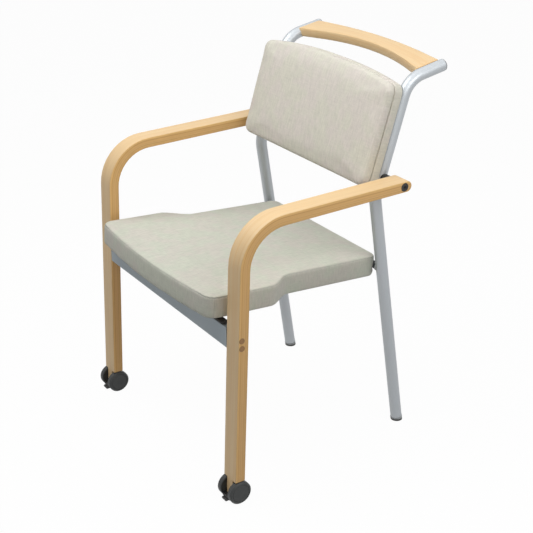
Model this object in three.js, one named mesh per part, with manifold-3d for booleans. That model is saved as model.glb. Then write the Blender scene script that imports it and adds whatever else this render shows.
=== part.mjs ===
// Nesting chair: bentwood arms and front legs, bent steel tubes, padded back, tip-up seat, front rollers
// Millimetres, Z up, the front of the chair looks toward -Y, the origin lies on the floor under its middle

import * as THREE from 'three';
import { mergeVertices } from 'three/addons/utils/BufferGeometryUtils.js';
import Module from 'manifold-3d';

const wasm = await Module();
wasm.setup();

// Clearances and facets
const FIT = 0.3;                  // gap between two pieces that touch
const EASE = 1.5;                 // small broken edge on hard pieces
const OVERCUT = 2;                // how far a cutter runs past the face it opens
const ROUND = 20;                 // facets round a tube
const SMALL_ROUND = 12;           // facets round a fastener or its hole
const SMALL_R = 5.5;              // up to this radius a round piece counts as small
const WHEEL_ROUND = 28;           // facets round a wheel
const MERGE = 1e-4;               // distance at which two corners are the same
const DEG = Math.PI / 180;

// Bentwood arm and leg
const LEG_OUTER_X = 286.3;         // outer face of an arm from the middle plane
const WOOD_WIDTH = 43.6;
const WOOD_THICK = 22.4;
const LEG_FOOT_Y = 10.65;         // middle of the leg at the floor
const LEG_LEAN = 2 * DEG;         // the leg leans back
const ARM_RISE = 0.6 * DEG;       // the arm rises toward the back
const ARM_BOLT_Z = 595.3;         // fixing point of the arm on the tube
const ARM_BEND = 89.5;            // centre line radius where the leg turns into the arm
const ARM_TAIL = 6.5;             // the arm's rounded end is centred this far behind the fixing
const SHOULDER_Z = 51;            // the full leg ends here, above the wheels
const TONGUE_Z = 14;              // lower end of the narrow tongue between the wheels
const TONGUE_WIDTH = 20;

// Front rail
const RAIL_HEIGHT = 43.5;
const RAIL_DEPTH = 15;
const RAIL_Z = 355.75;            // middle height of the rail
const RAIL_BOLT_Z = 357.5;        // middle between its two bolts
const RAIL_BOLT_APART = 16.5;
const RAIL_BOLT_R = 3;
const RAIL_BOLT_HEAD_R = 5;
const RAIL_BOLT_HEAD = 6;
const RAIL_BOLT_REACH = 38;       // length of the bolt inside the rail
const PLUG_R = 6;
const PLUG_DEPTH = 8;

// Rear tubes
const TUBE_X = 210;
const TUBE_R = 12.5;
const TUBE_WALL = 2;
const FOOT_Y = 476;
const KNEE_Y = 388;               // lower bend of the tube
const KNEE_Z = 554.6;
const CREST_Y = 459.8;            // upper bend of the tube
const CREST_Z = 785.3;
const GRIP_RUN = 91.3;            // from the upper bend to the end of the tube
const GRIP_RISE = 17;
const GRIP_Y = CREST_Y + GRIP_RUN;
const GRIP_Z = CREST_Z + GRIP_RISE;
const KNEE_BEND = 60;
const CREST_BEND = 55;
const GLIDE_HEIGHT = 9;
const GLIDE_R = 13;
const PLUG_STEM = 14;             // stem of a glide or a cap inside the tube
const CAP_THICK = 3.4;
const CAP_GROOVE = 0.9;
const ARM_BOLT_Y = KNEE_Y + (CREST_Y - KNEE_Y) * (ARM_BOLT_Z - KNEE_Z) / (CREST_Z - KNEE_Z);

// Grab rail, measured along and across the tube ends
const GRAB_FRONT = 28;            // front edge at its ends, from the upper bend
const GRAB_REAR = 86;
const GRAB_FRONT_BOW = 37;        // how far the middle is bowed back
const GRAB_REAR_BOW = 18;
const GRAB_HEIGHT = 22;
const GRAB_LIFT = 2.5;
const GRAB_EDGE = 5.5;
const GRAB_END_LAP = 5.5;         // the rail ends this far inside the tube's middle
const GRAB_STUD_R = 3;
const GRAB_STUD_REACH = 34;
const GRAB_STUD_SHARES = [0.3, 0.72];

// Arm fixing
const SPACER_R = 8.5;
const BUSH_R = 8.6;
const BUSH_DEPTH = 7;
const BUSH_PROUD = 0.6;
const BOLT_R = 4;
const BOLT_HEAD_R = 5.2;
const BOLT_HEAD = 4.4;
const SOCKET_R = 2.9;
const SOCKET_DEPTH = 2.4;

// Seat, described level and then tilted about its pivot
const PIVOT_Z = 385;
const PIVOT_Y = FOOT_Y + (KNEE_Y - FOOT_Y) * PIVOT_Z / KNEE_Z;
const SEAT_TILT = 4 * DEG;
const SEAT_TOP = 25.5;            // border of the cushion above the pivot
const SEAT_HEIGHT = 45.5;
const SEAT_FRONT_Y = -20;         // side ends of the front edge
const SEAT_REAR_Y = 416.5;
const SEAT_BOW = 13.5;            // the front edge swells forward by this
const SEAT_LEG_GAP = 14.7;          // between the wide front of the seat and a leg
const SEAT_TUBE_GAP = 5;          // between the narrow rear of the seat and a tube
const SEAT_TAPER = 0.5;
const SEAT_HALF = LEG_OUTER_X - WOOD_WIDTH - SEAT_LEG_GAP;
const SEAT_REAR_HALF = TUBE_X - TUBE_R - SEAT_TUBE_GAP;
const SEAT_WAIST_HALF = SEAT_REAR_HALF + SEAT_TAPER;
const SEAT_STEP_START = 126;
const SEAT_STEP_END = 190;
const SEAT_FRONT_CORNER = 30;
const SEAT_REAR_CORNER = 22;
const SEAT_CROWN = 5;
const BOARD_THICK = 9;
const BOARD_INSET = 14;

// Seat pivots and buffers
const PIN_R = 3.5;
const PIN_HEAD_R = 4.8;
const PIN_HEAD = 3;
const PIVOT_BUSH_R = 8.5;
const BRACKET_STEEL = 3;          // thickness of the seat bracket
const BRACKET_HALF = 7.5;         // half the height of its strip beside the knuckle
const KNUCKLE_R = 7;
const KNUCKLE_LENGTH = 8.5;
const KNUCKLE_GAP = 3;            // between the knuckle and the tube
const KNUCKLE_END_X = TUBE_X - TUBE_R - KNUCKLE_GAP;
const PLATE_REACH = 74;           // length of the bracket plate under the board
const PLATE_WIDTH = 38;
const PLATE_INSET = 30;           // from the side of the seat
const PLATE_OUTER_X = SEAT_REAR_HALF - PLATE_INSET;
const SCREW_R = 2.2;
const SCREW_HEAD_R = 4.2;
const SCREW_HEAD = 2.6;
const SCREW_BITE = 6.5;           // depth of a screw in a board
const BUFFER_LENGTH = 40;
const BUFFER_BASE = 4;
const BUFFER_LEG_GAP = 13.4;
const BUFFER_END_X = LEG_OUTER_X - WOOD_WIDTH - BUFFER_LEG_GAP;
const BUFFER_DOME_R = 6.5;

// Backrest, measured on the plane of the tubes: across, up and forward
const BACK_HALF = 221;
const BACK_BOTTOM = 15;
const BACK_TOP_GAP = 11.1;        // from the side ends of its top to the upper bend of the tube
const BACK_SIDE_TOP = Math.hypot(CREST_Y - KNEE_Y, CREST_Z - KNEE_Z) - BACK_TOP_GAP;
const BACK_ARCH = 13;
const ARCH_POWER = 2.4;           // how long the top edge stays high before it falls to its corners
const BACK_CORNER = 22;
const PANEL_THICK = 19.3;
const PAD_THICK = 20;
const PAD_CROWN = 7;
const BACK_BOARD_THICK = 8;
const BACK_BOARD_INSET = 16;
const BRACKET_THICK = 3;
const BRACKET_WIDTH = 34;
const BRACKET_BOTTOM = 45;
const BRACKET_TOP_GAP = 35.5;
const BRACKET_LENGTH = BACK_SIDE_TOP - BRACKET_BOTTOM - BRACKET_TOP_GAP;
const BACK_SCREW_SHARES = [0.12, 0.88];

// Rollers
const WHEEL_R = 25;
const WHEEL_THICK = 13;
const WHEEL_INNER = 12.5;         // inner face of a wheel from the middle of the leg
const WHEEL_SHOULDER = 2.6;
const WHEEL_RING = 3.4;           // width of the rim outside the ring groove
const WHEEL_GROOVE = 0.7;
const AXLE_R = 3;
const AXLE_BITE = 9;              // length of the axle inside a wheel
const SHOE_HALF = 12;
const SHOE_BOTTOM = 7.5;
const SHOE_FLOOR_TOP = 14;
const SHOE_CHEEK_TOP = 34;
const SHOE_NOSE = 9;              // how far the shoe reaches in front of the leg
const SHOE_WALL = 2.4;
const TOE_HALF = 6.5;             // the narrow toe under its front
const TOE_BOTTOM = 4.5;
const TOE_TOP = 10.5;
const TOE_REACH = 14;

// Colours and surface finish
const FINISH = {
  wood: { color: 0xd9ae76, roughness: 0.5, metalness: 0 },
  fabric: { color: 0xc9c6b8, roughness: 0.95, metalness: 0 },
  silver: { color: 0xb4b7be, roughness: 0.35, metalness: 0.6 },
  slate: { color: 0x7d868b, roughness: 0.5, metalness: 0.3 },
  black: { color: 0x161616, roughness: 0.6, metalness: 0 },
  rubber: { color: 0x1c1c1c, roughness: 0.9, metalness: 0 },
  wheel: { color: 0x3b3b3e, roughness: 0.6, metalness: 0 },
  cap: { color: 0xc8cacd, roughness: 0.5, metalness: 0 },
  plywood: { color: 0xb08a5a, roughness: 0.8, metalness: 0 },
  steel: { color: 0x8f9296, roughness: 0.35, metalness: 0.9 },
};

// Solids: joining and cutting
function solid(geometry) {
  let g = geometry.clone();
  g.deleteAttribute('normal');
  g.deleteAttribute('uv');
  g = mergeVertices(g, MERGE);
  return new wasm.Manifold(new wasm.Mesh({
    numProp: 3,
    vertProperties: Float32Array.from(g.attributes.position.array),
    triVerts: Uint32Array.from(g.index.array),
  }));
}

function surface(manifold) {
  const mesh = manifold.getMesh();
  const g = new THREE.BufferGeometry();
  g.setAttribute('position', new THREE.BufferAttribute(Float32Array.from(mesh.vertProperties), 3));
  g.setIndex(new THREE.BufferAttribute(Uint32Array.from(mesh.triVerts), 1));
  return g;
}

function cut(body, ...tools) {
  return surface(tools.reduce((left, tool) => left.subtract(solid(tool)), solid(body)));
}

function join(...bodies) {
  return surface(bodies.map(solid).reduce((all, one) => all.add(one)));
}

// Turns a geometry over to the other side of the chair
function mirrored(geometry) {
  const g = geometry.clone().scale(-1, 1, 1);
  const index = g.index.array;
  for (let i = 0; i < index.length; i += 3) [index[i], index[i + 1]] = [index[i + 1], index[i]];
  return g;
}

// Basic bodies
const facetsFor = (radius) => (radius < SMALL_R ? SMALL_ROUND : ROUND);

function rod(radius, x0, x1, y, z, facets = facetsFor(radius)) {
  return new THREE.CylinderGeometry(radius, radius, Math.abs(x1 - x0), facets)
    .rotateZ(Math.PI / 2).translate((x0 + x1) / 2, y, z);
}

function block(x0, x1, y0, y1, z0, z1) {
  return new THREE.BoxGeometry(x1 - x0, y1 - y0, z1 - z0)
    .translate((x0 + x1) / 2, (y0 + y1) / 2, (z0 + z1) / 2);
}

// A side outline given in Y and Z, drawn out along X with broken edges
function slab(points, x0, x1, edge = 0, steps = 1) {
  const g = new THREE.ExtrudeGeometry(new THREE.Shape(points), {
    depth: x1 - x0 - 2 * edge, steps: 1, bevelEnabled: edge > 0, bevelSize: edge,
    bevelThickness: edge, bevelOffset: -edge, bevelSegments: steps,
  });
  const turn = new THREE.Matrix4().makeBasis(
    new THREE.Vector3(0, 1, 0), new THREE.Vector3(0, 0, 1), new THREE.Vector3(1, 0, 0));
  return g.translate(0, 0, edge).applyMatrix4(turn).translate(x0, 0, 0);
}

// A turned body: profile of radius and height, stood up on Z
function turned(profile, facets = ROUND) {
  return new THREE.LatheGeometry(profile.map(([r, h]) => new THREE.Vector2(r, h)), facets)
    .rotateX(Math.PI / 2);
}

function arc(cy, cz, radius, from, to, steps) {
  return Array.from({ length: steps + 1 }, (_, i) => {
    const a = from + (to - from) * i / steps;
    return new THREE.Vector2(cy + radius * Math.cos(a), cz + radius * Math.sin(a));
  });
}

// Placing on a slanted line: a body stood up on Z is laid along a direction in the YZ plane
function laid(geometry, x, point, direction) {
  const lean = Math.atan2(-direction.x, direction.y);
  return geometry.rotateX(lean).translate(x, point.x, point.y);
}

// Lines of the leg and the arm
const LEG_X = LEG_OUTER_X - WOOD_WIDTH / 2;
const LEG_INNER_X = LEG_OUTER_X - WOOD_WIDTH;
const legUp = new THREE.Vector2(Math.sin(LEG_LEAN), Math.cos(LEG_LEAN));
const armBack = new THREE.Vector2(Math.cos(ARM_RISE), Math.sin(ARM_RISE));
const legFoot = new THREE.Vector2(LEG_FOOT_Y, 0);
const armEnd = new THREE.Vector2(ARM_BOLT_Y, ARM_BOLT_Z);

function legPoint(z, forward = 0) {
  const p = legFoot.clone().addScaledVector(legUp, z / legUp.y);
  return new THREE.Vector2(p.x - forward, p.y);
}

function armLegOutline() {
  const half = WOOD_THICK / 2;
  const spread = Math.PI / 2 - LEG_LEAN + ARM_RISE;
  const cross = legUp.x * armBack.y - legUp.y * armBack.x;
  const gap = armEnd.clone().sub(legFoot);
  const reach = (gap.x * armBack.y - gap.y * armBack.x) / cross;
  const corner = legFoot.clone().addScaledVector(legUp, reach);
  const tangent = ARM_BEND * Math.tan(spread / 2);
  const start = corner.clone().addScaledVector(legUp, -tangent);
  const centre = start.clone().add(new THREE.Vector2(legUp.y, -legUp.x).multiplyScalar(ARM_BEND));
  const from = Math.PI - LEG_LEAN, to = Math.PI / 2 + ARM_RISE;
  const low = legFoot.clone().addScaledVector(legUp, TONGUE_Z);
  const side = new THREE.Vector2(legUp.y, -legUp.x).multiplyScalar(half);
  const bend = 11, nose = 8;
  const tail = armEnd.clone().addScaledVector(armBack, ARM_TAIL);
  const end = arc(tail.x, tail.y, half, Math.PI / 2 + ARM_RISE, ARM_RISE - Math.PI / 2, nose);
  return [
    low.clone().sub(side), ...arc(centre.x, centre.y, ARM_BEND + half, from, to, bend),
    ...end, ...arc(centre.x, centre.y, ARM_BEND - half, to, from, bend), low.clone().add(side),
  ];
}

// Line of the rear tube with its two bends
function stations(points, radii, steps) {
  const rows = [{ at: points[0], along: points[1].clone().sub(points[0]).normalize() }];
  radii.forEach((radius, i) => {
    const before = points[i + 1].clone().sub(points[i]).normalize();
    const after = points[i + 2].clone().sub(points[i + 1]).normalize();
    const turn = Math.atan2(before.x * after.y - before.y * after.x, before.dot(after));
    const start = points[i + 1].clone().addScaledVector(before, -radius * Math.tan(Math.abs(turn) / 2));
    const inward = new THREE.Vector2(-before.y, before.x).multiplyScalar(Math.sign(turn) * radius);
    const centre = start.clone().add(inward);
    for (let k = 0; k <= steps[i]; k += 1) {
      const a = turn * k / steps[i];
      const spoke = inward.clone().negate().rotateAround(new THREE.Vector2(), a);
      const along = before.clone().rotateAround(new THREE.Vector2(), a);
      rows.push({ at: centre.clone().add(spoke), along });
    }
  });
  const last = points.length - 1;
  rows.push({ at: points[last], along: points[last].clone().sub(points[last - 1]).normalize() });
  return rows;
}

class BentLine extends THREE.Curve {
  constructor(rows) {
    super();
    this.rows = rows;
  }

  row(u) {
    return this.rows[Math.round(u * (this.rows.length - 1))];
  }

  getPoint(u) {
    const { at } = this.row(u);
    return new THREE.Vector3(0, at.x, at.y);
  }

  getPointAt(u) {
    return this.getPoint(u);
  }

  getTangentAt(u) {
    const { along } = this.row(u);
    return new THREE.Vector3(0, along.x, along.y);
  }
}

const tubeCorners = [[FOOT_Y, 0], [KNEE_Y, KNEE_Z], [CREST_Y, CREST_Z], [GRIP_Y, GRIP_Z]]
  .map(([y, z]) => new THREE.Vector2(y, z));
const legLine = tubeCorners[1].clone().sub(tubeCorners[0]).normalize();
const backLine = tubeCorners[2].clone().sub(tubeCorners[1]).normalize();
const gripLine = tubeCorners[3].clone().sub(tubeCorners[2]).normalize();

function tubeLine() {
  const first = tubeCorners[0].clone().addScaledVector(legLine, GLIDE_HEIGHT + FIT);
  const last = tubeCorners[3].clone().addScaledVector(gripLine, -CAP_THICK - FIT);
  const points = [first, tubeCorners[1], tubeCorners[2], last];
  return new BentLine(stations(points, [KNEE_BEND, CREST_BEND], [4, 7]));
}

function tubeBody(radius, bore) {
  const ring = new THREE.Shape().absarc(0, 0, radius, 0, 2 * Math.PI, false);
  if (bore) ring.holes.push(new THREE.Path().absarc(0, 0, bore, 0, 2 * Math.PI, true));
  const line = tubeLine();
  return new THREE.ExtrudeGeometry(ring, {
    steps: line.rows.length - 1, extrudePath: line, curveSegments: ROUND / 2,
  }).translate(TUBE_X, 0, 0);
}

const grabX = TUBE_X - GRAB_END_LAP;

function grabPlace(geometry) {
  const lean = Math.atan2(gripLine.y, gripLine.x);
  return geometry.rotateX(lean).translate(0, CREST_Y, CREST_Z);
}

const grabStuds = GRAB_STUD_SHARES.map((share) => GRAB_FRONT + (GRAB_REAR - GRAB_FRONT) * share);

// Wooden pieces
function armLeg() {
  const [low, high] = [RAIL_BOLT_Z - RAIL_BOLT_APART / 2, RAIL_BOLT_Z + RAIL_BOLT_APART / 2];
  const headEnd = LEG_OUTER_X - PLUG_DEPTH - RAIL_BOLT_HEAD - 2 * FIT;
  const y = railMiddleY();
  const holes = [low, high].flatMap((z) => [
    rod(PLUG_R + FIT, headEnd, LEG_OUTER_X + OVERCUT, y, z),
    rod(RAIL_BOLT_R + FIT, LEG_INNER_X - OVERCUT, headEnd + OVERCUT, y, z),
  ]);
  const bushFloor = LEG_OUTER_X - BUSH_DEPTH;
  const axle = legPoint(WHEEL_R);
  const cheek = (side) => {
    const [near, far] = [side * TONGUE_WIDTH / 2, side * WOOD_WIDTH];
    return block(LEG_X + Math.min(near, far), LEG_X + Math.max(near, far),
      -WOOD_THICK, 3 * WOOD_THICK, 0, SHOULDER_Z);
  };
  return cut(
    slab(armLegOutline(), LEG_INNER_X, LEG_OUTER_X, EASE, 2), ...holes,
    rod(BUSH_R + FIT, bushFloor, LEG_OUTER_X + OVERCUT, armEnd.x, armEnd.y),
    rod(BOLT_R + FIT, LEG_INNER_X - OVERCUT, bushFloor + OVERCUT, armEnd.x, armEnd.y),
    cheek(-1), cheek(1),
    rod(AXLE_R + FIT, LEG_X - TONGUE_WIDTH, LEG_X + TONGUE_WIDTH, axle.x, axle.y),
  );
}

function grabRail() {
  const half = grabX, span = TUBE_X - TUBE_R, steps = 12;
  const bowed = (edge, bow, x) => edge + bow * Math.max(0, 1 - (x / span) ** 2);
  const xs = Array.from({ length: steps + 1 }, (_, i) => half * (2 * i / steps - 1));
  const outline = [
    ...xs.map((x) => new THREE.Vector2(x, bowed(GRAB_FRONT, GRAB_FRONT_BOW, x))),
    ...xs.reverse().map((x) => new THREE.Vector2(x, bowed(GRAB_REAR, GRAB_REAR_BOW, x))),
  ];
  const g = new THREE.ExtrudeGeometry(new THREE.Shape(outline), {
    depth: GRAB_HEIGHT - 2 * GRAB_EDGE, steps: 1, bevelEnabled: true, bevelSize: GRAB_EDGE,
    bevelThickness: GRAB_EDGE, bevelOffset: -GRAB_EDGE, bevelSegments: 2,
  }).translate(0, 0, GRAB_EDGE - GRAB_HEIGHT / 2 + GRAB_LIFT);
  const holes = grabStuds.flatMap((s) => [-1, 1].map((side) => grabPlace(rod(
    GRAB_STUD_R + FIT, side * (TUBE_X - TUBE_R - GRAB_STUD_REACH), side * TUBE_X, s, 0))));
  const tube = tubeBody(TUBE_R + FIT);
  return cut(grabPlace(g), tube, tube.clone().translate(-2 * TUBE_X, 0, 0), ...holes);
}

// Front rail and its fixings
function railMiddleY() {
  return legPoint(RAIL_Z, WOOD_THICK / 2).x + RAIL_DEPTH / 2;
}

function frontRail() {
  const y = railMiddleY(), half = RAIL_DEPTH / 2, tall = RAIL_HEIGHT / 2;
  const corner = (sy, sz) => arc(y + sy * (half - EASE), RAIL_Z + sz * (tall - EASE), EASE,
    Math.atan2(sz, sy) - Math.PI / 4, Math.atan2(sz, sy) + Math.PI / 4, 3);
  const outline = [...corner(1, 1), ...corner(-1, 1), ...corner(-1, -1), ...corner(1, -1)];
  const end = LEG_INNER_X - FIT;
  const holes = [-1, 1].flatMap((side) => [-1, 1].map((row) => rod(
    RAIL_BOLT_R + FIT, side * (LEG_INNER_X - RAIL_BOLT_REACH - 2 * FIT), side * LEG_OUTER_X,
    y, RAIL_BOLT_Z + row * RAIL_BOLT_APART / 2)));
  return cut(slab(outline, -end, end), ...holes);
}

function railBolt(row) {
  const y = railMiddleY(), z = RAIL_BOLT_Z + row * RAIL_BOLT_APART / 2;
  const headEnd = LEG_OUTER_X - PLUG_DEPTH - FIT;
  const headStart = headEnd - RAIL_BOLT_HEAD;
  return join(
    rod(RAIL_BOLT_HEAD_R, headStart, headEnd, y, z),
    rod(RAIL_BOLT_R, LEG_INNER_X - RAIL_BOLT_REACH, headStart + EASE, y, z),
  );
}

function woodPlug(row) {
  const z = RAIL_BOLT_Z + row * RAIL_BOLT_APART / 2;
  return surface(solid(rod(PLUG_R, LEG_OUTER_X - PLUG_DEPTH, LEG_OUTER_X, railMiddleY(), z)));
}

function seatBuffer() {
  const y = railMiddleY(), low = RAIL_Z + RAIL_HEIGHT / 2 + FIT, r = RAIL_DEPTH / 2;
  const x0 = BUFFER_END_X - BUFFER_LENGTH, top = seatUnderside(y + BUFFER_DOME_R) - FIT;
  const round = (x) => new THREE.CylinderGeometry(r, r, BUFFER_BASE, ROUND)
    .rotateX(Math.PI / 2).translate(x, y, low + BUFFER_BASE / 2);
  const dome = turned([[0, 0], [BUFFER_DOME_R, 0], [BUFFER_DOME_R, top - low - EASE],
    [BUFFER_DOME_R - EASE, top - low], [0, top - low]]).translate(x0 + r + EASE, y, low);
  return join(block(x0 + r, BUFFER_END_X - r, y - r, y + r, low, low + BUFFER_BASE),
    round(x0 + r), round(BUFFER_END_X - r), dome);
}

// Rear tube and its ends
function rearTube() {
  const studs = grabStuds.map((s) => grabPlace(
    rod(GRAB_STUD_R + FIT, TUBE_X - TUBE_R - OVERCUT, TUBE_X, s, 0)));
  return cut(tubeBody(TUBE_R, TUBE_R - TUBE_WALL),
    rod(BOLT_R + FIT, TUBE_X, TUBE_X + TUBE_R + OVERCUT, armEnd.x, armEnd.y),
    rod(PIN_R + FIT, TUBE_X - TUBE_R - OVERCUT, TUBE_X, PIVOT_Y, PIVOT_Z), ...studs);
}

function plugProfile(flange, thick, groove) {
  const stem = TUBE_R - TUBE_WALL - FIT;
  return [[0, -PLUG_STEM], [stem - EASE, -PLUG_STEM], [stem, EASE - PLUG_STEM], [stem, groove],
    [flange, groove], [flange, thick - EASE], [flange - EASE, thick], [0, thick]];
}

function tubeCap() {
  const g = surface(solid(turned(plugProfile(TUBE_R - FIT, CAP_THICK, CAP_GROOVE))));
  const foot = tubeCorners[3].clone().addScaledVector(gripLine, -CAP_THICK);
  return laid(g, TUBE_X, foot, gripLine);
}

function footGlide() {
  const g = surface(solid(turned(plugProfile(GLIDE_R, GLIDE_HEIGHT + TUBE_R, 0))));
  const top = tubeCorners[0].clone().addScaledVector(legLine, GLIDE_HEIGHT);
  laid(g, TUBE_X, top, legLine.clone().negate());
  const below = block(TUBE_X - 2 * GLIDE_R, TUBE_X + 2 * GLIDE_R,
    FOOT_Y - 3 * GLIDE_R, FOOT_Y + 3 * GLIDE_R, -3 * GLIDE_R, 0);
  return cut(g, below);
}

function grabStud(s) {
  const start = TUBE_X - TUBE_R - GRAB_STUD_REACH + FIT;
  return grabPlace(surface(solid(rod(GRAB_STUD_R, start, TUBE_X - TUBE_R + TUBE_WALL, s, 0))));
}

// Arm fixing: bush, bolt and spacer
function armBush() {
  const face = LEG_OUTER_X + BUSH_PROUD, floor = LEG_OUTER_X - BUSH_DEPTH + FIT;
  const seat = face - BOLT_HEAD - BUSH_PROUD;
  return cut(rod(BUSH_R, floor, face, armEnd.x, armEnd.y),
    rod(BOLT_HEAD_R + FIT, seat, face + OVERCUT, armEnd.x, armEnd.y),
    rod(BOLT_R + FIT, floor - OVERCUT, seat + OVERCUT, armEnd.x, armEnd.y));
}

function armBolt() {
  const seat = LEG_OUTER_X - BOLT_HEAD + FIT, end = seat + BOLT_HEAD - FIT;
  const body = join(rod(BOLT_HEAD_R, seat, end, armEnd.x, armEnd.y),
    rod(BOLT_R, TUBE_X + EASE, seat + EASE, armEnd.x, armEnd.y));
  return cut(body, rod(SOCKET_R, end - SOCKET_DEPTH, end + OVERCUT, armEnd.x, armEnd.y, 6));
}

function armSpacer() {
  return cut(rod(SPACER_R, TUBE_X + TUBE_R / 2, LEG_INNER_X - FIT, armEnd.x, armEnd.y),
    tubeBody(TUBE_R + FIT),
    rod(BOLT_R + FIT, TUBE_X, LEG_INNER_X + OVERCUT, armEnd.x, armEnd.y));
}

// Padded forms: rows from the crown over the edge to the underside, on a closed outline
function pillow(outline, centre, rows) {
  const n = outline.length;
  const g = new THREE.SphereGeometry(1, n, rows.length - 1);
  const place = g.attributes.position;
  const inward = outline.map((p, i) => {
    const t = outline[(i + 1) % n].clone().sub(outline[(i + n - 1) % n]).normalize();
    return new THREE.Vector2(-t.y, t.x);
  });
  rows.forEach(([share, inset, height], r) => {
    for (let c = 0; c <= n; c += 1) {
      const i = c % n;
      const p = outline[i].clone().addScaledVector(inward[i], inset).sub(centre)
        .multiplyScalar(share).add(centre);
      place.setXYZ(r * (n + 1) + c, p.x, p.y, height);
    }
  });
  return g;
}

function bothHalves(half) {
  const other = half.slice(1, -1).reverse().map((p) => new THREE.Vector2(-p.x, p.y));
  return [...half, ...other];
}

const smooth = (t) => t * t * (3 - 2 * t);

function seatOutline() {
  const half = [];
  const put = (x, y) => half.push(new THREE.Vector2(x, y));
  const front = SEAT_HALF - SEAT_FRONT_CORNER, frontSteps = 6;
  for (let i = 0; i < frontSteps; i += 1) {
    const x = front * i / frontSteps;
    put(x, SEAT_FRONT_Y - SEAT_BOW * (1 - (x / front) ** 2));
  }
  half.push(...arc(front, SEAT_FRONT_Y + SEAT_FRONT_CORNER, SEAT_FRONT_CORNER, -Math.PI / 2, 0, 5));
  put(SEAT_HALF, (SEAT_FRONT_Y + SEAT_FRONT_CORNER + SEAT_STEP_START) / 2);
  const stepRows = 7, sideRows = 4;
  for (let i = 0; i <= stepRows; i += 1) {
    const t = i / stepRows;
    put(SEAT_HALF + (SEAT_WAIST_HALF - SEAT_HALF) * smooth(t),
      SEAT_STEP_START + (SEAT_STEP_END - SEAT_STEP_START) * t);
  }
  const sideEnd = SEAT_REAR_Y - SEAT_REAR_CORNER;
  for (let i = 1; i < sideRows; i += 1) {
    const t = i / sideRows;
    put(SEAT_WAIST_HALF + (SEAT_REAR_HALF - SEAT_WAIST_HALF) * t,
      SEAT_STEP_END + (sideEnd - SEAT_STEP_END) * t);
  }
  half.push(...arc(SEAT_REAR_HALF - SEAT_REAR_CORNER, sideEnd, SEAT_REAR_CORNER, 0, Math.PI / 2, 4));
  const rearSteps = 3;
  for (let i = 1; i <= rearSteps; i += 1) {
    put((SEAT_REAR_HALF - SEAT_REAR_CORNER) * (1 - i / rearSteps), SEAT_REAR_Y);
  }
  return bothHalves(half);
}

const seatMiddle = new THREE.Vector2(0, (SEAT_FRONT_Y + SEAT_REAR_Y) / 2);
const seatLow = PIVOT_Z + SEAT_TOP - SEAT_HEIGHT;
const pinHeadX = KNUCKLE_END_X - KNUCKLE_LENGTH - FIT - PIN_HEAD;

function tilted(geometry) {
  return geometry.translate(0, -PIVOT_Y, -PIVOT_Z).rotateX(-SEAT_TILT).translate(0, PIVOT_Y, PIVOT_Z);
}

function seatUnderside(y) {
  return PIVOT_Z + (seatLow - PIVOT_Z) / Math.cos(SEAT_TILT) + (PIVOT_Y - y) * Math.tan(SEAT_TILT);
}

// Edge rows of a padded form: share toward the middle, inset of the outline, share of its height
const CUSHION_ROWS = [
  [0, 6, 1, 1], [0.4, 6, 1, 0.95], [0.68, 6, 1, 0.76], [0.86, 6, 1, 0.42], [0.96, 6, 1, 0.1],
  [1, 5, 0.985, 0], [1, 2.2, 0.95, 0], [1, 0.9, 0.9, 0], [1, 2, 0.87, 0], [1, 0.7, 0.83, 0],
  [1, 0, 0.5, 0], [1, 1.2, 0.16, 0], [1, 3.4, 0.04, 0], [1, 7, 0, 0], [0.5, 7, 0, 0], [0, 7, 0, 0],
];

function padRows(low, height, crown) {
  return CUSHION_ROWS.map(([share, inset, up, swell]) => [share, inset, low + height * up + crown * swell]);
}

function plate(outline, inset, low, high) {
  return pillow(outline.points, outline.middle, [
    [0, inset, high], [1, inset, high], [1, inset, low], [0, inset, low]]);
}

function seatCushion() {
  const outline = { points: seatOutline(), middle: seatMiddle };
  const body = pillow(outline.points, seatMiddle, padRows(seatLow, SEAT_HEIGHT, SEAT_CROWN));
  const recess = plate(outline, BOARD_INSET - FIT, seatLow - OVERCUT, seatLow + BOARD_THICK + FIT);
  const notches = [-1, 1].map((side) => rod(KNUCKLE_R + EASE, side * (pinHeadX - EASE),
    side * SEAT_HALF, PIVOT_Y, PIVOT_Z));
  return tilted(cut(body, recess, ...notches));
}

const BRACKET_SCREW_SHARES = [0.35, 0.8];
const bracketScrews = BRACKET_SCREW_SHARES.map((share) => SEAT_REAR_Y - PLATE_REACH * share);
const bracketScrewX = PLATE_OUTER_X - PLATE_WIDTH / 2;

function upright(radius, z0, z1, x, y) {
  return new THREE.CylinderGeometry(radius, radius, z1 - z0, facetsFor(radius))
    .rotateX(Math.PI / 2).translate(x, y, (z0 + z1) / 2);
}

function seatBoard() {
  const outline = { points: seatOutline(), middle: seatMiddle };
  const holes = [-1, 1].flatMap((side) => bracketScrews.map((y) => upright(
    SCREW_R + FIT, seatLow - OVERCUT, seatLow + SCREW_BITE + FIT, side * bracketScrewX, y)));
  return tilted(cut(plate(outline, BOARD_INSET, seatLow, seatLow + BOARD_THICK), ...holes));
}

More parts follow.
